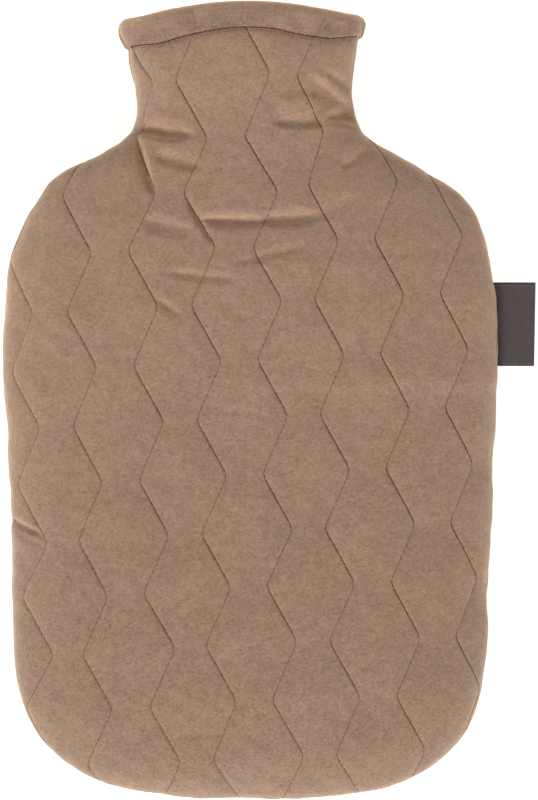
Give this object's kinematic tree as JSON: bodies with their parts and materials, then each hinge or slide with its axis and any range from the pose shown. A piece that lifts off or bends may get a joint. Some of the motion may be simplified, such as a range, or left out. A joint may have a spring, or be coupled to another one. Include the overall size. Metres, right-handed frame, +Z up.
{
  "type": "hot water bottle cover",
  "caption": "Quilted velour cover for a hot water bottle: a flat rounded pouch with an open hemmed neck and a folded label in its side seam.",
  "frame": {"origin": "on the flat of the back, under the middle of the body, where the cover lies on its surface", "axes": "+X across the cover towards the label, +Y from the foot to the open neck, +Z up through the front"},
  "size_m": [0.2286, 0.3401, 0.0488],
  "materials": {
    "front_velour": "taupe short-pile velour, quilted over padding",
    "back_velour": "taupe short-pile velour, quilted over padding",
    "label_ribbon": "dark grey woven ribbon, plain"
  },
  "bodies": {
    "root": {"front_panel": "front_velour", "back_panel": "back_velour", "side_label": "label_ribbon"}
  },
  "joints": []
}
